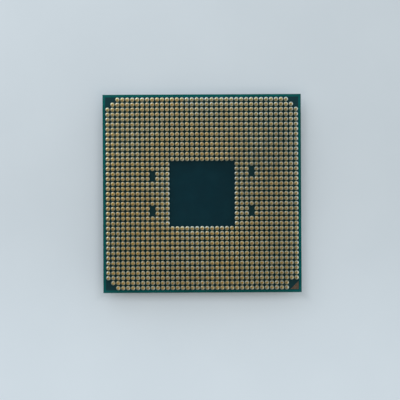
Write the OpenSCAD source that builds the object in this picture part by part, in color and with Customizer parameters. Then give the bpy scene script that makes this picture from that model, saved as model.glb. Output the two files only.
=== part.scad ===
// Square processor in a pin grid package, lying on its lid with the pins up.
// Lengths are in millimetres. The origin is the middle of the lid's outer face.

/* [Pin grid] */
// Places along each side of the full grid, an odd number
grid_places = 39; // [35:2:43]
// Distance between neighbouring pins
pin_pitch = 1; // [0.95:0.05:1.3]
// Places left bare along each side of the centre, an odd number
bare_places = 13; // [9:2:17]
// Places cut off diagonally at each plain corner
cut_places = 2; // [1:1:4]
// Places left bare along each side of the marked corner
marked_places = 2; // [2:1:4]
// Columns from the centre to the key gaps
key_column = 10; // [9:1:13]
// Pins left out in each key gap
key_places = 2; // [1:1:3]

/* [Pins] */
// Diameter of a pin's shank
pin_d = 0.3; // [0.2:0.01:0.4]
// Height of a pin above the board
pin_h = 2.03; // [1.5:0.01:3]
// Length of the taper at a pin's tip
tip_taper_h = 0.14; // [0.05:0.01:0.3]
// Amount by which the taper narrows the tip, at each side
tip_inset = 0.06; // [0.02:0.01:0.08]

/* [Pin solder] */
// Width of the solder around a pin's foot
solder_reach = 0.29; // [0.18:0.01:0.33]
// Width of the solder's steep rim
solder_rim = 0.05; // [0.02:0.01:0.08]
// Height of the solder's steep rim
solder_rim_h = 0.1; // [0.05:0.01:0.14]
// Height that the solder climbs from its rim to the shank
solder_climb = 0.08; // [0.04:0.01:0.12]

/* [Board] */
// Distance from the outermost pins' axes to the board's edge
edge_margin = 1; // [0.7:0.05:2]
// Thickness of the board
board_t = 1.15; // [0.8:0.05:1.6]

/* [Corner markers] */
// Length of the short sides of the pin side's triangle
pin_marker_leg = 1.62; // [1:0.01:1.8]
// Distance of the pin side's triangle from the board's edges
pin_marker_inset = 0.63; // [0.3:0.01:0.8]
// Length of the short sides of the lid side's triangle
lid_marker_leg = 1.5; // [0.8:0.05:1.6]
// Distance of the lid side's triangle from the board's edges
lid_marker_inset = 0.35; // [0.2:0.05:0.5]
// Thickness of the plated triangles
marker_t = 0.03; // [0.02:0.01:0.1]

/* [Lid] */
// Width of the bare board around the lid
lid_margin = 1.2; // [0.9:0.1:2]
// Thickness of the lid over the die
lid_plate_t = 2; // [1.2:0.1:3]
// Width of the foot that stands on the board
foot_w = 3.2; // [2.4:0.1:5]
// Thickness of the flange along the foot
flange_t = 1.2; // [0.6:0.1:1.8]
// Width of the flange's ledge around the raised top
ledge_w = 1.1; // [0.5:0.1:1.8]
// Corner radius of the flange
flange_corner_r = 2.2; // [1:0.1:4]
// Corner radius of the raised top
top_corner_r = 2.6; // [1:0.1:4]
// Corner radius of the cavity under the lid
cavity_corner_r = 1.5; // [0.5:0.1:3]
// Bevel around the raised top
top_bevel = 0.25; // [0.1:0.05:0.5]
// Bevel around the flange's ledge
flange_bevel = 0.15; // [0.05:0.05:0.3]

/* [Lid sealant] */
// Thickness of the bead between foot and board
sealant_t = 0.15; // [0.08:0.01:0.3]
// Distance of the bead from the foot's two edges
sealant_inset = 0.4; // [0.1:0.05:0.8]
// Width of the vent gap in the bead
vent_w = 3; // [1:0.5:6]

/* [Die] */
// Length of the die, along X
die_l = 22; // [12:0.5:23]
// Width of the die, along Y
die_w = 9.7; // [6:0.1:16]
// Thickness of the die
die_t = 0.78; // [0.5:0.02:1]
// Height of the solder bumps under the die
bump_h = 0.07; // [0.05:0.01:0.12]
// Spread of the underfill around the die
underfill_spread = 0.9; // [0.4:0.1:1.5]
// Height of the die's sides left bare above the underfill
bare_die_h = 0.28; // [0.1:0.02:0.4]
// Thickness of the thermal layer between die and lid
thermal_t = 0.25; // [0.1:0.05:0.4]
// Amount by which the thermal layer passes the die's edges
thermal_margin = 0.2; // [0:0.05:0.4]

/* [Capacitors] */
// Length of a chip capacitor over its metal ends
cap_l = 1; // [0.8:0.1:1.6]
// Width of a chip capacitor
cap_w = 0.5; // [0.3:0.05:0.8]
// Height of a chip capacitor
cap_h = 0.5; // [0.3:0.05:0.7]
// Length of each metal end
cap_end_l = 0.25; // [0.1:0.05:0.3]
// Distance between neighbouring capacitors
cap_pitch = 1.7; // [1.2:0.1:2.2]
// Capacitors along each long side of the die
long_side_caps = 11; // [5:1:11]
// Capacitors along each short side of the die
short_side_caps = 4; // [2:1:5]
// Distance from the underfill to the capacitors
cap_gap = 0.8; // [0.4:0.1:1.2]

/* [Hidden] */
$fn = 48;
// Amount by which a cutting shape passes the face that it cuts
cut_over = 1;

// The grid is counted in steps from its centre, X to the right and Y away from the marked edge.
half_grid = (grid_places - 1) / 2;
half_bare = (bare_places - 1) / 2;
// Each key gap is its column's side and the step of its lowest missing pin.
key_gaps = [[-1, 3], [-1, -4], [1, 4], [1, -4]];
// Rows from the board's edge that make up the outer field of pins
outer_rows = 5;

board_w = 2 * half_grid * pin_pitch + 2 * edge_margin;
lid_w = board_w - 2 * lid_margin;
top_w = lid_w - 2 * ledge_w;
cavity_w = lid_w - 2 * foot_w;

// Heights from the lid's outer face upwards
thermal_z = lid_plate_t;
die_z = thermal_z + thermal_t;
bump_z = die_z + die_t;
board_z = bump_z + bump_h;
foot_z = board_z - sealant_t;
pin_z = board_z + board_t;

pin_r = pin_d / 2;
solder_r = pin_r + solder_reach;

underfill_z = die_z + bare_die_h;
// Distances from the die's middle to the middle of a capacitor, past its short and long sides
cap_reach = underfill_spread + cap_gap + cap_l / 2;
short_side_x = die_l / 2 + cap_reach;
long_side_y = die_w / 2 + cap_reach;

// Steps from a place to the edge of the grid
function edge_steps(step) = half_grid - abs(step);

function in_bare_centre(x, y) = abs(x) <= half_bare && abs(y) <= half_bare;

function in_cut_corner(x, y) = edge_steps(x) + edge_steps(y) < cut_places;

function in_marked_corner(x, y) =
    x > 0 && y < 0 && edge_steps(x) < marked_places && edge_steps(y) < marked_places;

function in_key_gap(x, y) =
    len([for (gap = key_gaps) if (x == gap[0] * key_column && y >= gap[1] && y < gap[1] + key_places) gap]) > 0;

function has_pin(x, y) =
    !in_bare_centre(x, y) && !in_cut_corner(x, y) && !in_marked_corner(x, y) && !in_key_gap(x, y);

function in_outer_field(x, y) = min(edge_steps(x), edge_steps(y)) < outer_rows;

// Puts its children on the board's pin side at every pin of the outer or the inner field
module at_pins(outer) {
    for (y = [-half_grid:half_grid])
        for (x = [-half_grid:half_grid])
            if (has_pin(x, y) && in_outer_field(x, y) == outer)
                translate([x * pin_pitch, y * pin_pitch, pin_z])
                    children();
}

// Puts its children at every capacitor, lengthwise away from the die
module at_capacitors() {
    for (side = [-1, 1]) {
        for (k = [0:long_side_caps - 1])
            translate([(k - (long_side_caps - 1) / 2) * cap_pitch, side * long_side_y, 0])
                rotate([0, 0, 90])
                    children();
        for (k = [0:short_side_caps - 1])
            translate([side * short_side_x, (k - (short_side_caps - 1) / 2) * cap_pitch, 0])
                children();
    }
}

// Square outline with round corners
module rounded_square(w, corner_r) {
    straight = w - 2 * corner_r;
    square([w, straight], center = true);
    square([straight, w], center = true);
    for (x = [-1, 1], y = [-1, 1])
        translate([x, y] * straight / 2)
            circle(corner_r);
}

// Square slab with round corners, bevelled around its lower face
module bevelled_slab(w, corner_r, h, bevel) {
    straight = w - 2 * corner_r;
    half = w / 2;
    for (turn = [0, 90])
        rotate([90, 0, turn])
            linear_extrude(straight, center = true)
                polygon([
                    [bevel - half, 0], [half - bevel, 0], [half, bevel],
                    [half, h], [-half, h], [-half, bevel]
                ]);
    for (x = [-1, 1], y = [-1, 1])
        translate([x * straight / 2, y * straight / 2, 0])
            rotate_extrude()
                polygon([[0, 0], [corner_r - bevel, 0], [corner_r, bevel], [corner_r, h], [0, h]]);
}

// Right-angled triangle with its corner at the marked corner of the board
module corner_triangle(leg, inset) {
    corner = board_w / 2 - inset;
    linear_extrude(marker_t)
        polygon([[corner, -corner], [corner, leg - corner], [corner - leg, -corner]]);
}

// Prism along Y whose width along X grows from narrow_w at its foot to wide_w
module tapered_prism(narrow_w, wide_w, h, l) {
    rotate([90, 0, 0])
        linear_extrude(l, center = true)
            polygon([[-narrow_w / 2, 0], [narrow_w / 2, 0], [wide_w / 2, h], [-wide_w / 2, h]]);
}

module substrate() {
    color("#0c3a3c")
        translate([-board_w / 2, -board_w / 2, board_z])
            cube([board_w, board_w, board_t]);
}

// Straight pin with a tapered tip
module pin() {
    rotate_extrude()
        polygon([
            [0, 0], [pin_r, 0], [pin_r, pin_h - tip_taper_h], [pin_r - tip_inset, pin_h], [0, pin_h]
        ]);
}

// Ring of solder around a pin's foot: a steep rim, then a flatter climb to the shank
module solder_ring() {
    rotate_extrude()
        polygon([
            [pin_r, 0], [solder_r, 0], [solder_r - solder_rim, solder_rim_h],
            [pin_r, solder_rim_h + solder_climb]
        ]);
}

module outer_pins() {
    color("#b98f45")
        at_pins(outer = true)
            pin();
}

module inner_pins() {
    color("#b98f45")
        at_pins(outer = false)
            pin();
}

module outer_pin_solder() {
    color("#cdbd98")
        at_pins(outer = true)
            solder_ring();
}

module inner_pin_solder() {
    color("#cdbd98")
        at_pins(outer = false)
            solder_ring();
}

module pin_side_marker() {
    color("#8a6a3c")
        translate([0, 0, pin_z])
            corner_triangle(pin_marker_leg, pin_marker_inset);
}

module lid_side_marker() {
    color("#8a6a3c")
        translate([0, 0, board_z - marker_t])
            corner_triangle(lid_marker_leg, lid_marker_inset);
}

module heat_spreader() {
    color("#b9bbb8")
        difference() {
            union() {
                bevelled_slab(top_w, top_corner_r, foot_z, top_bevel);
                translate([0, 0, foot_z - flange_t])
                    bevelled_slab(lid_w, flange_corner_r, flange_t, flange_bevel);
            }
            translate([0, 0, lid_plate_t])
                linear_extrude(foot_z - lid_plate_t + cut_over)
                    rounded_square(cavity_w, cavity_corner_r);
        }
}

module lid_sealant() {
    color("#3a3b3d")
        translate([0, 0, foot_z])
            linear_extrude(sealant_t)
                difference() {
                    rounded_square(lid_w - 2 * sealant_inset, flange_corner_r - sealant_inset);
                    rounded_square(cavity_w + 2 * sealant_inset, cavity_corner_r + sealant_inset);
                    translate([-vent_w / 2, -lid_w / 2])
                        square([vent_w, foot_w]);
                }
}

module silicon_die() {
    color("#5c6068")
        translate([-die_l / 2, -die_w / 2, die_z])
            cube([die_l, die_w, die_t]);
}

module die_underfill() {
    h = board_z - underfill_z;
    color("#2f3338")
        difference() {
            translate([0, 0, underfill_z])
                intersection() {
                    tapered_prism(die_l, die_l + 2 * underfill_spread, h, die_w + 2 * underfill_spread);
                    rotate([0, 0, 90])
                        tapered_prism(die_w, die_w + 2 * underfill_spread, h, die_l + 2 * underfill_spread);
                }
            translate([-die_l / 2, -die_w / 2, die_z])
                cube([die_l, die_w, die_t]);
        }
}

module thermal_layer() {
    color("#a7a9ac")
        translate([-die_l / 2 - thermal_margin, -die_w / 2 - thermal_margin, thermal_z])
            cube([die_l + 2 * thermal_margin, die_w + 2 * thermal_margin, thermal_t]);
}

module capacitor_bodies() {
    body_l = cap_l - 2 * cap_end_l;
    color("#8d7a62")
        translate([0, 0, board_z - cap_h])
            at_capacitors()
                translate([-body_l / 2, -cap_w / 2, 0])
                    cube([body_l, cap_w, cap_h]);
}

module capacitor_ends() {
    color("#c8c9c8")
        translate([0, 0, board_z - cap_h])
            at_capacitors()
                for (end = [-1, 1])
                    translate([end * (cap_l - cap_end_l) / 2 - cap_end_l / 2, -cap_w / 2, 0])
                        cube([cap_end_l, cap_w, cap_h]);
}

substrate();
outer_pins();
inner_pins();
outer_pin_solder();
inner_pin_solder();
pin_side_marker();
lid_side_marker();
heat_spreader();
lid_sealant();
silicon_die();
die_underfill();
thermal_layer();
capacitor_bodies();
capacitor_ends();
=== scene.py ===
"""A square processor in a pin grid package. It lies on its lid with the pins up."""

import math

import bpy
from mathutils import Matrix, Vector


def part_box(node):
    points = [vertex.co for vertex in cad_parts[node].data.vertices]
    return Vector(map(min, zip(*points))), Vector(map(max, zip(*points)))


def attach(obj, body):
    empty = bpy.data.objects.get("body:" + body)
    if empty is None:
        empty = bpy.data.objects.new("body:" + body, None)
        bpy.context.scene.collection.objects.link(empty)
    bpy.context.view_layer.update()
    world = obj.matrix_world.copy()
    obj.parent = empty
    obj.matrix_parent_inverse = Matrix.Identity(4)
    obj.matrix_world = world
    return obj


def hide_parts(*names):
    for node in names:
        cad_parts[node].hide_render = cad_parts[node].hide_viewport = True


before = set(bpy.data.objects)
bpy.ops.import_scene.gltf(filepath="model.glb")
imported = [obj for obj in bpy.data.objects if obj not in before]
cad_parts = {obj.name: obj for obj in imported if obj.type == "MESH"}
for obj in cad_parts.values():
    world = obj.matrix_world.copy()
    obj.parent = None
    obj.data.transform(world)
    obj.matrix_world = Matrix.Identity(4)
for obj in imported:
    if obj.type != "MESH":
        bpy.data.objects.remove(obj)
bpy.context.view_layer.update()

MM = 0.001
WHOLE_TURN = 2 * math.pi

# The pin grid, counted in steps from its middle
GRID_HALF = 19
BARE_HALF = 6
OUTER_ROWS = 5
PITCH = 1.0 * MM
# A corner leaves out the places that are fewer steps than this from both edges together, and the
# marked corner leaves out a square of places
CUT_STEPS = 2
MARKED_SIDE = 2
KEY_GAPS = [(-10, 3), (-10, 4), (-10, -4), (-10, -3), (10, 4), (10, 5), (10, -4), (10, -3)]

BOARD_LOW, BOARD_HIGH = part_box("substrate")
PIN_FACE = BOARD_HIGH.z
BOARD_HALF = BOARD_HIGH.x
LID_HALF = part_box("heat_spreader")[1].x

# Outlines of (radius, height) in millimetres, turned about the pin's axis
PIN_OUTLINE = [(0.15, 0), (0.15, 1.885), (0.13, 1.97), (0.095, 2.013), (0.045, 2.028)]
PIN_SIDES = 12
SOLDER_OUTLINE = [(0.146, 0), (0.44, 0), (0.425, 0.06), (0.38, 0.108), (0.28, 0.148), (0.146, 0.18)]
SOLDER_SIDES = 14
SHARP_EDGE = math.radians(50)
PIN_LEAN = math.radians(0.5)


# Shader helpers

def add(tree, kind, inputs=None, **settings):
    """Adds a node. An input's value is a plain value, or another node's socket to link."""
    made = tree.nodes.new(kind)
    for name, value in settings.items():
        setattr(made, name, value)
    for name, value in (inputs or {}).items():
        if isinstance(value, bpy.types.NodeSocket):
            tree.links.new(value, made.inputs[name])
        else:
            made.inputs[name].default_value = value
    return made


def calc(tree, operation, a, b=0.0):
    """Math node with one or two values, and its result."""
    return add(tree, "ShaderNodeMath", {0: a, 1: b}, operation=operation).outputs[0]


def weighted_sum(tree, start, *terms):
    """A start value plus each term's value times its weight."""
    total = start
    for value, weight in terms:
        total = calc(tree, "ADD", total, calc(tree, "MULTIPLY", value, weight))
    return total


def remap(tree, value, low, high, to_low=0.0, to_high=1.0):
    """Smooth step from low to high."""
    inputs = {0: value, 1: low, 2: high, 3: to_low, 4: to_high}
    return add(tree, "ShaderNodeMapRange", inputs, interpolation_type="SMOOTHSTEP").outputs[0]


def between(tree, mask, least, most):
    """A value from least, where the mask is 0, to most, where it is 1."""
    return remap(tree, mask, 0.0, 1.0, least, most)


def blend(tree, share, first, second):
    """Mix of two colours."""
    made = add(tree, "ShaderNodeMix", {0: share, 6: first, 7: second}, data_type="RGBA")
    return made.outputs[2]


def blend_values(tree, share, first, second):
    """Mix of two plain values."""
    return add(tree, "ShaderNodeMix", {0: share, 2: first, 3: second}).outputs[0]


def here(tree):
    """The place on the surface, in metres."""
    return add(tree, "ShaderNodeTexCoord").outputs["Object"]


def apart(tree, vector):
    """The three parts of a vector."""
    return add(tree, "ShaderNodeSeparateXYZ", {0: vector}).outputs


def own(tree, name):
    """A value that the piece carries with it."""
    return add(tree, "ShaderNodeAttribute", attribute_name=name).outputs["Fac"]


def new_group(name, inputs, outputs):
    """Shader node group with named sockets: the tree, its inputs and its output node."""
    group = bpy.data.node_groups.new(name, "ShaderNodeTree")
    for title, value in inputs.items():
        socket = group.interface.new_socket(title, in_out="INPUT", socket_type="NodeSocketFloat")
        socket.default_value = value
    for title in outputs:
        group.interface.new_socket(title, in_out="OUTPUT", socket_type="NodeSocketFloat")
    return group, group.nodes.new("NodeGroupInput").outputs, group.nodes.new("NodeGroupOutput")


def use(tree, group, **values):
    """Places a shared group in a material, with its own values."""
    made = tree.nodes.new("ShaderNodeGroup")
    made.node_tree = group
    for name, value in values.items():
        made.inputs[name.replace("_", " ")].default_value = value
    return made.outputs


# Shared effects

def make_clouds():
    """Soft patches, as in tarnish, handling and uneven plating."""
    tree, given, result = new_group(
        "clouds", {"Patches per mm": 1.0, "Detail": 3.0, "From": 0.35, "To": 0.65}, ["Mask"]
    )
    scale = calc(tree, "DIVIDE", given["Patches per mm"], MM)
    inputs = {"Vector": here(tree), "Scale": scale, "Detail": given["Detail"]}
    noise = add(tree, "ShaderNodeTexNoise", inputs).outputs[0]
    mask = remap(tree, noise, given["From"], given["To"])
    tree.links.new(mask, result.inputs["Mask"])
    return tree


def make_scratches():
    """Fine straight scratches along a turned direction. More cover lets more of them through."""
    tree, given, result = new_group(
        "fine scratches",
        {"Lines per mm": 8.0, "Length mm": 6.0, "Turn": 0.0, "Cover": 0.4},
        ["Mask"],
    )
    turn = add(tree, "ShaderNodeCombineXYZ", {2: given["Turn"]}).outputs[0]
    across = calc(tree, "DIVIDE", given["Lines per mm"], MM)
    along = calc(tree, "DIVIDE", 1 / MM, given["Length mm"])
    size = add(tree, "ShaderNodeCombineXYZ", {0: along, 1: across, 2: across}).outputs[0]
    turned = add(tree, "ShaderNodeMapping", {"Vector": here(tree), "Rotation": turn}).outputs[0]
    factors = {0: turned, 1: size}
    spread = add(tree, "ShaderNodeVectorMath", factors, operation="MULTIPLY").outputs[0]
    inputs = {"Vector": spread, "Scale": 1.0, "Detail": 2.0}
    noise = add(tree, "ShaderNodeTexNoise", inputs).outputs[0]
    bare_start, cover_gain, softness = 0.72, 0.3, 0.12
    start = calc(tree, "SUBTRACT", bare_start, calc(tree, "MULTIPLY", given["Cover"], cover_gain))
    mask = remap(tree, noise, start, calc(tree, "ADD", start, softness))
    tree.links.new(mask, result.inputs["Mask"])
    return tree


def make_edge_distance():
    """Distance inwards from the edge of a square, seen along Z, and the height, in millimetres."""
    tree, given, result = new_group(
        "edge distance", {"Half mm": 20.0}, ["Distance mm", "Height mm"]
    )
    x, y, z = apart(tree, here(tree))
    reach = calc(tree, "MAXIMUM", calc(tree, "ABSOLUTE", x), calc(tree, "ABSOLUTE", y))
    distance = calc(tree, "SUBTRACT", given["Half mm"], calc(tree, "DIVIDE", reach, MM))
    tree.links.new(distance, result.inputs["Distance mm"])
    tree.links.new(calc(tree, "DIVIDE", z, MM), result.inputs["Height mm"])
    return tree


CLOUDS = make_clouds()
SCRATCHES = make_scratches()
EDGE_DISTANCE = make_edge_distance()


# Materials

def new_finish(name, **plain):
    """Material with a Principled shader, whose plain values are set on its own sockets."""
    finish = bpy.data.materials.new(name)
    finish.use_nodes = True
    tree = finish.node_tree
    shader = tree.nodes["Principled BSDF"]
    for title, value in plain.items():
        shader.inputs[title.replace("_", " ")].default_value = value
    return finish, tree, shader


def raise_by(tree, shader, height, depth, strength):
    """Feeds a height into the shader's normal. The depth is in metres."""
    inputs = {"Height": height, "Distance": depth, "Strength": strength}
    bump = add(tree, "ShaderNodeBump", inputs).outputs[0]
    tree.links.new(bump, shader.inputs["Normal"])


def make_solder_mask():
    """Glossy teal mask: dark over copper, a little paler between the pads as painted light that
    lifts the shade of the pins, palest over the bare laminate along the rim. The sides show the
    laminate's layers."""
    finish, tree, shader = new_finish("teal_solder_mask", Specular_IOR_Level=0.28)
    edge = use(tree, EDGE_DISTANCE, Half_mm=BOARD_HALF / MM)
    inwards = edge["Distance mm"]
    # Distances inwards from the board's edge, in millimetres
    side_to, face_from = 0.004, 0.012
    rim_to, copper_from = 0.46, 0.58
    pads_to, bare_from = 13.1, 13.5
    pours = use(tree, CLOUDS, Patches_per_mm=0.35, Detail=2.0, From=0.3, To=0.7)["Mask"]
    over_copper = blend(tree, pours, (0.0004, 0.024, 0.0355, 1), (0.0008, 0.028, 0.0405, 1))
    # Painted light: the mask between the pads is paler to lift the shade of the pins
    painted_fill_between_pads = blend(tree, pours, (0.006, 0.038, 0.046, 1), (0.008, 0.047, 0.056, 1))
    over_laminate = blend(tree, pours, (0.0005, 0.091, 0.09, 1), (0.0008, 0.114, 0.113, 1))
    in_field = remap(tree, inwards, bare_from, pads_to)
    inner = blend(tree, in_field, over_copper, painted_fill_between_pads)
    on_copper = remap(tree, inwards, rim_to, copper_from)
    face = blend(tree, on_copper, over_laminate, inner)
    on_side = remap(tree, inwards, face_from, side_to)
    layers = paint_layers(tree, edge["Height mm"])
    tree.links.new(blend(tree, on_side, face, layers), shader.inputs["Base Color"])
    smudge = use(tree, CLOUDS, Patches_per_mm=0.8, Detail=4.0, From=0.4, To=0.75)["Mask"]
    face_rough = between(tree, smudge, 0.2, 0.27)
    side_rough = 0.62
    rough = blend_values(tree, on_side, face_rough, side_rough)
    tree.links.new(rough, shader.inputs["Roughness"])
    peel = use(tree, CLOUDS, Patches_per_mm=4.0, Detail=2.0, From=0.2, To=0.8)["Mask"]
    raise_by(tree, shader, peel, 0.004 * MM, 0.12)
    return finish


def paint_layers(tree, height_mm):
    """Build-up layers around a paler core, from the lid side to the pin side of the board."""
    limits = {1: BOARD_LOW.z / MM, 2: BOARD_HIGH.z / MM}
    share = add(tree, "ShaderNodeMapRange", {0: height_mm, **limits}).outputs[0]
    layers = add(tree, "ShaderNodeValToRGB", {0: share})
    mask = (0.002, 0.05, 0.045, 1)
    build_up = (0.05, 0.075, 0.05, 1)
    copper = (0.1, 0.06, 0.03, 1)
    core = (0.13, 0.13, 0.07, 1)
    stops = [(0.03, build_up), (0.12, copper), (0.14, build_up), (0.22, copper), (0.24, core)]
    stops += [(0.76, copper), (0.78, build_up), (0.86, copper), (0.88, build_up), (0.97, mask)]
    ramp = layers.color_ramp
    ramp.interpolation = "CONSTANT"
    ramp.elements[0].color = mask
    ramp.elements[1].position, ramp.elements[1].color = stops[-1]
    for position, colour in stops[:-1]:
        ramp.elements.new(position).color = colour
    return layers.outputs[0]


def uneven(tree, name, patches_per_mm, patch_share, painted_light_drift):
    """A pin's own value, with patches that it shares with the pins around it. Painted light makes
    the value drift slowly over the field, by so much per millimetre along X and Y."""
    own_share = 0.6
    around = use(tree, CLOUDS, Patches_per_mm=patches_per_mm, Detail=2.0, From=0.3, To=0.7)["Mask"]
    x, y, _ = apart(tree, here(tree))
    start = 0.5 - 0.5 * (own_share + patch_share)
    # Painted light: these slopes make the value drift across the field
    painted_light_slopes = [(x, painted_light_drift[0] / MM), (y, painted_light_drift[1] / MM)]
    return weighted_sum(tree, start, (own(tree, name), own_share), (around, patch_share), *painted_light_slopes)


def pin_tint_and_light(tree):
    """How bright a pin's metal is, from 0 to 1, with painted light that makes it brighter towards
    the top left of the field.
    """
    return uneven(tree, "tint", patches_per_mm=0.05, patch_share=0.42, painted_light_drift=(-0.013, 0.006))


def shift_hue(tree, colour):
    """Turns a pin's metal towards olive or towards copper, with a painted light tint that is cooler
    towards the right and the top of the field.
    """
    hue = uneven(tree, "hue", patches_per_mm=0.14, patch_share=0.55, painted_light_drift=(-0.0133, -0.0043))
    shift = blend(tree, hue, (0.94, 1.025, 1.16, 1), (1.065, 0.975, 0.8, 1))
    inputs = {0: 1.0, 6: colour, 7: shift}
    shifted = add(tree, "ShaderNodeMix", inputs, data_type="RGBA", blend_type="MULTIPLY")
    return shifted.outputs[2]


def make_gold_plate():
    """Gold plating on the pins, duller at the tips, with a tint of each pin's own and patches
    where it was handled. Painted light over the field makes it brighter towards the top left and
    cooler towards the right and the top."""
    finish, tree, shader = new_finish("gold_plate", Metallic=1.0)
    tint = pin_tint_and_light(tree)
    dull = use(tree, CLOUDS, Patches_per_mm=2.5, Detail=3.0, From=0.35, To=0.7)["Mask"]
    shank = blend(tree, tint, (0.66, 0.46, 0.16, 1), (0.8, 0.6, 0.24, 1))
    tip = blend(tree, tint, (0.549, 0.33, 0.068, 1), (0.712, 0.468, 0.108, 1))
    on_shank = remap(tree, own(tree, "reach"), 0.6, 1.0)
    plate = blend(tree, on_shank, tip, shank)
    patched = blend(tree, calc(tree, "MULTIPLY", dull, 0.5), plate, (0.36, 0.2, 0.05, 1))
    tree.links.new(shift_hue(tree, patched), shader.inputs["Base Color"])
    tree.links.new(between(tree, dull, 0.26, 0.42), shader.inputs["Roughness"])
    drawn = use(tree, SCRATCHES, Lines_per_mm=30.0, Length_mm=0.4, Turn=0.0, Cover=0.6)["Mask"]
    raise_by(tree, shader, drawn, 0.002 * MM, 0.2)
    return finish


def make_pin_solder():
    """Solder that has taken some gold from the pins: golden at the pin, pale at the rim, satin
    and a little uneven. Painted light over the field makes it brighter towards the top left and
    cooler towards the right and the top."""
    finish, tree, shader = new_finish("gilt_solder", Metallic=1.0)
    tint = pin_tint_and_light(tree)
    stain = use(tree, CLOUDS, Patches_per_mm=3.0, Detail=3.0, From=0.4, To=0.7)["Mask"]
    pale = blend(tree, tint, (0.44, 0.482, 0.422, 1), (0.594, 0.656, 0.6, 1))
    stained = blend(tree, calc(tree, "MULTIPLY", stain, 0.45), pale, (0.44, 0.4, 0.25, 1))
    golden = blend(tree, tint, (0.41, 0.254, 0.059, 1), (0.517, 0.349, 0.088, 1))
    from_pin = weighted_sum(tree, own(tree, "reach"), (stain, 0.2))
    golden_to, pale_from = 0.115, 0.6
    on_rim = remap(tree, from_pin, golden_to, pale_from)
    wetted = blend(tree, on_rim, golden, stained)
    tree.links.new(shift_hue(tree, wetted), shader.inputs["Base Color"])
    tree.links.new(between(tree, stain, 0.3, 0.45), shader.inputs["Roughness"])
    grain = use(tree, CLOUDS, Patches_per_mm=9.0, Detail=2.0, From=0.2, To=0.8)["Mask"]
    raise_by(tree, shader, grain, 0.01 * MM, 0.3)
    return finish


def make_marker_plate():
    """Flat plated triangle, dulled to a brown gold."""
    finish, tree, shader = new_finish("marker_plate", Metallic=1.0)
    stain = use(tree, CLOUDS, Patches_per_mm=1.6, Detail=4.0, From=0.35, To=0.7)["Mask"]
    plate = blend(tree, stain, (0.268, 0.199, 0.139, 1), (0.176, 0.12, 0.086, 1))
    tree.links.new(plate, shader.inputs["Base Color"])
    tree.links.new(between(tree, stain, 0.38, 0.55), shader.inputs["Roughness"])
    rubbed = use(tree, SCRATCHES, Lines_per_mm=14.0, Length_mm=2.0, Turn=0.7, Cover=0.5)["Mask"]
    raise_by(tree, shader, rubbed, 0.004 * MM, 0.3)
    return finish


def make_nickel_plate():
    """Satin nickel over copper: crossed fine scratches, cloudy handling marks, and edges that
    are rubbed bright."""
    finish, tree, shader = new_finish("nickel_plate", Metallic=1.0)
    inwards = use(tree, EDGE_DISTANCE, Half_mm=LID_HALF / MM)["Distance mm"]
    cloud = use(tree, CLOUDS, Patches_per_mm=0.11, Detail=4.0, From=0.3, To=0.75)["Mask"]
    speck = use(tree, CLOUDS, Patches_per_mm=1.2, Detail=4.0, From=0.48, To=0.62)["Mask"]
    fine = use(tree, SCRATCHES, Lines_per_mm=5.0, Length_mm=9.0, Turn=0.35, Cover=0.45)["Mask"]
    cross = use(tree, SCRATCHES, Lines_per_mm=3.0, Length_mm=14.0, Turn=1.9, Cover=0.3)["Mask"]
    brushed = use(tree, SCRATCHES, Lines_per_mm=14.0, Length_mm=5.0, Turn=0.0, Cover=1.0)["Mask"]
    plate = blend(tree, cloud, (0.61, 0.6, 0.57, 1), (0.57, 0.56, 0.535, 1))
    rim = calc(tree, "MULTIPLY", remap(tree, inwards, 0.28, 0.05), speck)
    rubbed = blend(tree, rim, plate, (0.67, 0.61, 0.54, 1))
    scratched = calc(tree, "MAXIMUM", fine, cross)
    lined = blend(tree, calc(tree, "MULTIPLY", scratched, 0.35), rubbed, (0.78, 0.77, 0.75, 1))
    tree.links.new(lined, shader.inputs["Base Color"])
    dulled = between(tree, cloud, 0.33, 0.37)
    tree.links.new(weighted_sum(tree, dulled, (brushed, 0.06)), shader.inputs["Roughness"])
    height = calc(tree, "SUBTRACT", calc(tree, "MULTIPLY", brushed, 0.4), scratched)
    raise_by(tree, shader, height, 0.004 * MM, 0.35)
    return finish


def make_plain_finish(
    name, dark, pale, patches_per_mm, rough, grain_per_mm, grain_depth_mm, metallic=0.0
):
    """Finish of an inner piece: two tones in patches, duller where paler, with a fine grain."""
    finish, tree, shader = new_finish(name, Metallic=metallic)
    patch = use(tree, CLOUDS, Patches_per_mm=patches_per_mm, Detail=4.0, From=0.3, To=0.7)["Mask"]
    tree.links.new(blend(tree, patch, (*dark, 1), (*pale, 1)), shader.inputs["Base Color"])
    duller = 0.12
    tree.links.new(between(tree, patch, rough, rough + duller), shader.inputs["Roughness"])
    grain = use(tree, CLOUDS, Patches_per_mm=grain_per_mm, Detail=2.0, From=0.2, To=0.8)["Mask"]
    raise_by(tree, shader, grain, grain_depth_mm * MM, 0.4)
    return finish


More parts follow.
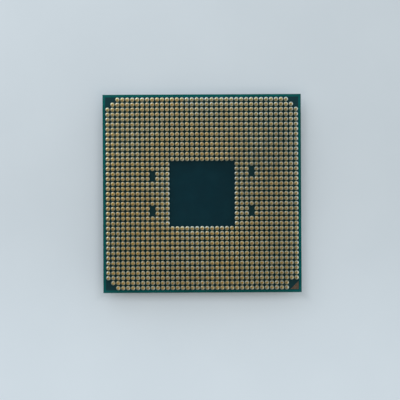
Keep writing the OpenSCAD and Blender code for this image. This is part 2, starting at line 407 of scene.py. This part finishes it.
GOLD_PLATE = make_gold_plate()
PIN_SOLDER = make_pin_solder()
MARKER_PLATE = make_marker_plate()
NODE_FINISHES = {
    "substrate": make_solder_mask(),
    "pin_side_marker": MARKER_PLATE,
    "lid_side_marker": MARKER_PLATE,
    "heat_spreader": make_nickel_plate(),
    "lid_sealant": make_plain_finish(
        "black_silicone", dark=(0.012, 0.012, 0.014), pale=(0.03, 0.03, 0.033),
        patches_per_mm=1.5, rough=0.55, grain_per_mm=6.0, grain_depth_mm=0.02,
    ),
    "silicon_die": make_plain_finish(
        "polished_silicon", dark=(0.1, 0.105, 0.12), pale=(0.14, 0.145, 0.16),
        patches_per_mm=0.2, rough=0.12, grain_per_mm=3.0, grain_depth_mm=0.001, metallic=0.6,
    ),
    "die_underfill": make_plain_finish(
        "dark_underfill", dark=(0.012, 0.014, 0.016), pale=(0.03, 0.033, 0.036),
        patches_per_mm=1.2, rough=0.4, grain_per_mm=5.0, grain_depth_mm=0.01,
    ),
    "thermal_layer": make_plain_finish(
        "soft_metal_layer", dark=(0.5, 0.5, 0.51), pale=(0.62, 0.62, 0.63),
        patches_per_mm=0.6, rough=0.42, grain_per_mm=4.0, grain_depth_mm=0.01, metallic=1.0,
    ),
    "capacitor_bodies": make_plain_finish(
        "fired_ceramic", dark=(0.2, 0.13, 0.075), pale=(0.28, 0.19, 0.11),
        patches_per_mm=4.0, rough=0.5, grain_per_mm=12.0, grain_depth_mm=0.006,
    ),
    "capacitor_ends": make_plain_finish(
        "tin_plate", dark=(0.56, 0.56, 0.55), pale=(0.68, 0.68, 0.67),
        patches_per_mm=5.0, rough=0.34, grain_per_mm=14.0, grain_depth_mm=0.006, metallic=1.0,
    ),
}


# Pins and their solder

def edge_steps(step):
    """Steps from a column or row to the nearer edge of the grid."""
    return GRID_HALF - abs(step)


def has_pin(x, y):
    """Whether a place of the grid holds a pin."""
    bare = max(abs(x), abs(y)) <= BARE_HALF
    cut = edge_steps(x) + edge_steps(y) < CUT_STEPS
    marked = x > 0 > y and max(edge_steps(x), edge_steps(y)) < MARKED_SIDE
    return not (bare or cut or marked or (x, y) in KEY_GAPS)


def in_outer_field(x, y):
    """Whether a place belongs to the rows along the board's edges."""
    return min(edge_steps(x), edge_steps(y)) < OUTER_ROWS


def pin_places(outer):
    """Feet of the pins of the outer or the inner field."""
    steps = range(-GRID_HALF, GRID_HALF + 1)
    return [
        (x * PITCH, y * PITCH, PIN_FACE)
        for y in steps
        for x in steps
        if has_pin(x, y) and in_outer_field(x, y) == outer
    ]


def turned_piece(name, outline, sides, is_ring):
    """Closed mesh turned about Z from an outline. A ring's outline closes on itself, and any
    other gets a flat face at each end."""
    angles = [WHOLE_TURN * k / sides for k in range(sides)]
    points = [
        (r * MM * math.cos(angle), r * MM * math.sin(angle), z * MM)
        for r, z in outline
        for angle in angles
    ]
    rows = len(outline)
    faces = []
    for row in range(rows if is_ring else rows - 1):
        low, high = row * sides, (row + 1) % rows * sides
        for k in range(sides):
            after = (k + 1) % sides
            faces.append((low + k, low + after, high + after, high + k))
    if not is_ring:
        faces.append(tuple(reversed(range(sides))))
        faces.append(tuple(range((rows - 1) * sides, rows * sides)))
    mesh = bpy.data.meshes.new(name)
    mesh.from_pydata(points, [], faces)
    store_reach(mesh)
    mesh.shade_smooth()
    mesh.set_sharp_from_angle(angle=SHARP_EDGE)
    piece = bpy.data.objects.new(name, mesh)
    bpy.context.scene.collection.objects.link(piece)
    return piece


def store_reach(mesh):
    """Keeps each point's distance from the axis, from 0 at the narrowest to 1 at the widest."""
    radii = [math.hypot(v.co.x, v.co.y) for v in mesh.vertices]
    least, most = min(radii), max(radii)
    reach = mesh.attributes.new("reach", "FLOAT", "POINT")
    reach.data.foreach_set("value", [(r - least) / (most - least) for r in radii])


def make_placing_tree():
    """Puts a piece at each place, leaning a little and turned at random, with a random tint and
    hue of its own."""
    tree = bpy.data.node_groups.new("piece at each place", "GeometryNodeTree")
    kinds = {
        "Places": "Geometry",
        "Piece": "Object",
        "Finish": "Material",
        "Lean": "Float",
        "Seed": "Int",
    }
    for title, kind in kinds.items():
        tree.interface.new_socket(title, in_out="INPUT", socket_type="NodeSocket" + kind)
    tree.interface.new_socket("Pieces", in_out="OUTPUT", socket_type="NodeSocketGeometry")
    given = tree.nodes.new("NodeGroupInput").outputs
    shape = add(tree, "GeometryNodeObjectInfo", {"Object": given["Piece"]}).outputs["Geometry"]
    lean = given["Lean"]
    back = calc(tree, "MULTIPLY", lean, -1.0)
    least = add(tree, "ShaderNodeCombineXYZ", {0: back, 1: back}).outputs[0]
    most = add(tree, "ShaderNodeCombineXYZ", {0: lean, 1: lean, 2: WHOLE_TURN}).outputs[0]
    range_of_turn = {0: least, 1: most, 8: given["Seed"]}
    turn = add(tree, "FunctionNodeRandomValue", range_of_turn, data_type="FLOAT_VECTOR").outputs[0]
    spin = add(tree, "FunctionNodeEulerToRotation", {0: turn}).outputs[0]
    placing = {"Points": given["Places"], "Instance": shape, "Rotation": spin}
    marked = add(tree, "GeometryNodeInstanceOnPoints", placing).outputs[0]
    for title, seed_step in [("tint", 0), ("hue", 50)]:
        seed = calc(tree, "ADD", given["Seed"], seed_step)
        share = add(tree, "FunctionNodeRandomValue", {8: seed}, data_type="FLOAT").outputs[1]
        marked = add(
            tree,
            "GeometryNodeStoreNamedAttribute",
            {"Geometry": marked, "Name": title, "Value": share},
            data_type="FLOAT",
            domain="INSTANCE",
        ).outputs[0]
    joined = add(tree, "GeometryNodeRealizeInstances", {0: marked}).outputs[0]
    finishing = {"Geometry": joined, "Material": given["Finish"]}
    finished = add(tree, "GeometryNodeSetMaterial", finishing).outputs[0]
    add(tree, "NodeGroupOutput", {0: finished})
    return tree


PLACING_TREE = make_placing_tree()


def piece_at_each_place(name, places, node, slot, **values):
    """One plain mesh of the piece at all places, which stands for a node."""
    mesh = bpy.data.meshes.new(name)
    mesh.from_pydata(places, [], [])
    field = bpy.data.objects.new(name, mesh)
    bpy.context.scene.collection.objects.link(field)
    placing = field.modifiers.new("placing", "NODES")
    placing.node_group = PLACING_TREE
    for socket in PLACING_TREE.interface.items_tree:
        if socket.in_out == "INPUT" and socket.name in values:
            placing[socket.identifier] = values[socket.name]
    depsgraph = bpy.context.evaluated_depsgraph_get()
    settled = bpy.data.meshes.new_from_object(
        field.evaluated_get(depsgraph), preserve_all_data_layers=True, depsgraph=depsgraph
    )
    field.modifiers.remove(placing)
    field.data = settled
    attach(field, "root")
    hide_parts(node)


pin_template = turned_piece("pin_template", PIN_OUTLINE, PIN_SIDES, is_ring=False)
solder_template = turned_piece("solder_template", SOLDER_OUTLINE, SOLDER_SIDES, is_ring=True)
for where, seed in [("outer", 3), ("inner", 7)]:
    places = pin_places(where == "outer")
    piece_at_each_place(
        f"gold_{where}_pins", places, f"{where}_pins", "pin_gold",
        Piece=pin_template, Finish=GOLD_PLATE, Lean=PIN_LEAN, Seed=seed,
    )
    piece_at_each_place(
        f"{where}_solder_rings", places, f"{where}_pin_solder", "pin_solder",
        Piece=solder_template, Finish=PIN_SOLDER, Lean=0.0, Seed=seed + 1,
    )
for template in (pin_template, solder_template):
    bpy.data.objects.remove(template)

for node, finish in NODE_FINISHES.items():
    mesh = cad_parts[node].data
    mesh.materials.clear()
    mesh.materials.append(finish)


# Floor, light and camera

def make_floor():
    """Plain pale floor, with painted light that makes it a little paler towards the near end. Where
    it is seen or mirrored, part of its colour is light of its own, which fades out at the part, so
    the shadow stays."""
    half = 1.5
    corners = [(-half, -half, 0), (half, -half, 0), (half, half, 0), (-half, half, 0)]
    mesh = bpy.data.meshes.new("floor")
    mesh.from_pydata(corners, [], [(0, 1, 2, 3)])
    floor = bpy.data.objects.new("floor", mesh)
    bpy.context.scene.collection.objects.link(floor)
    finish, tree, shader = new_finish("pale_floor", Roughness=0.9, Specular_IOR_Level=0.1)
    mottle = use(tree, CLOUDS, Patches_per_mm=0.05, Detail=5.0, From=0.3, To=0.7)["Mask"]
    # Painted light: the floor turns paler towards the near end
    away = blend(tree, mottle, (0.66, 0.735, 0.79, 1), (0.68, 0.755, 0.81, 1))
    towards = blend(tree, mottle, (0.765, 0.857, 0.928, 1), (0.785, 0.877, 0.948, 1))
    _, y, _ = apart(tree, here(tree))
    away_to, towards_from = 5 * MM, -45 * MM
    shade = blend(tree, remap(tree, y, away_to, towards_from), away, towards)
    tree.links.new(shade, shader.inputs["Base Color"])
    glow_level = 0.86
    glow = add(tree, "ShaderNodeEmission", {"Color": shade, "Strength": glow_level}).outputs[0]
    seen = add(tree, "ShaderNodeLightPath").outputs
    mirrored = calc(tree, "MAXIMUM", seen["Is Glossy Ray"], seen["Is Transmission Ray"])
    direct = calc(tree, "MAXIMUM", seen["Is Camera Ray"], mirrored)
    inwards = use(tree, EDGE_DISTANCE, Half_mm=BOARD_HALF / MM)["Distance mm"]
    shadow_from, clear_from, glow_share = 0.5, -2.5, 0.6
    clear = remap(tree, inwards, shadow_from, clear_from, 0.0, glow_share)
    share = calc(tree, "MULTIPLY", direct, clear)
    inputs = {0: share, 1: shader.outputs[0], 2: glow}
    softened = add(tree, "ShaderNodeMixShader", inputs).outputs[0]
    tree.links.new(softened, tree.nodes["Material Output"].inputs["Surface"])
    mesh.materials.append(finish)


def make_sky():
    """Soft surroundings: cool light from the far end, warm light from the near end, brighter at
    the sides, brightest on the right, and dark overhead."""
    sky = bpy.data.worlds.new("soft_surroundings")
    bpy.context.scene.world = sky
    sky.use_nodes = True
    tree = sky.node_tree
    x, y, z = apart(tree, add(tree, "ShaderNodeTexCoord").outputs["Generated"])
    sides = calc(tree, "MULTIPLY", x, x)
    around = weighted_sum(tree, 0.61, (x, 0.54), (y, 0.33), (sides, 0.48))
    around_to, overhead_from, overhead_level = 0.78, 0.93, 0.21
    overhead = remap(tree, z, around_to, overhead_from)
    level = blend_values(tree, overhead, around, overhead_level)
    cool = weighted_sum(tree, 0.5, (y, 0.6))
    tint = blend(tree, cool, (1.08, 1.0, 0.88, 1), (0.86, 0.97, 1.06, 1))
    background = tree.nodes["Background"]
    tree.links.new(tint, background.inputs["Color"])
    tree.links.new(level, background.inputs["Strength"])


def make_lamp(name, place, side, power, colour):
    """Soft square lamp, turned to the part."""
    data = bpy.data.lights.new(name, "AREA")
    data.size = side
    data.energy = power
    data.color = colour
    lamp = bpy.data.objects.new(name, data)
    lamp.location = place
    lamp.rotation_mode = "QUATERNION"
    lamp.rotation_quaternion = (-Vector(place)).to_track_quat("-Z", "Y")
    bpy.context.scene.collection.objects.link(lamp)


def make_camera():
    """Camera of the photo, straight above and far enough away that every pin is seen end on.
    Its turn, its place and its lens were fitted to the pin grid."""
    data = bpy.data.cameras.new("camera")
    data.lens = 223.08
    camera = bpy.data.objects.new("camera", data)
    bpy.context.scene.collection.objects.link(camera)
    turn = Matrix.Rotation(math.radians(-0.294), 3, "Z")
    place = Vector((-0.415, -1.311, 500)) * MM
    eye = turn @ place + Vector((0, 0, PIN_FACE))
    camera.matrix_world = Matrix.Translation(eye) @ turn.to_4x4()
    bpy.context.scene.camera = camera


make_floor()
make_sky()
make_lamp("far_lamp", (-0.063, 0.078, 0.088), side=0.105, power=0.063, colour=(0.96, 0.98, 1.0))
make_lamp("near_lamp", (0.12, -0.3, 0.2), side=0.25, power=0.018, colour=(1.0, 0.95, 0.88))
make_camera()
bpy.context.scene.view_settings.view_transform = "Standard"
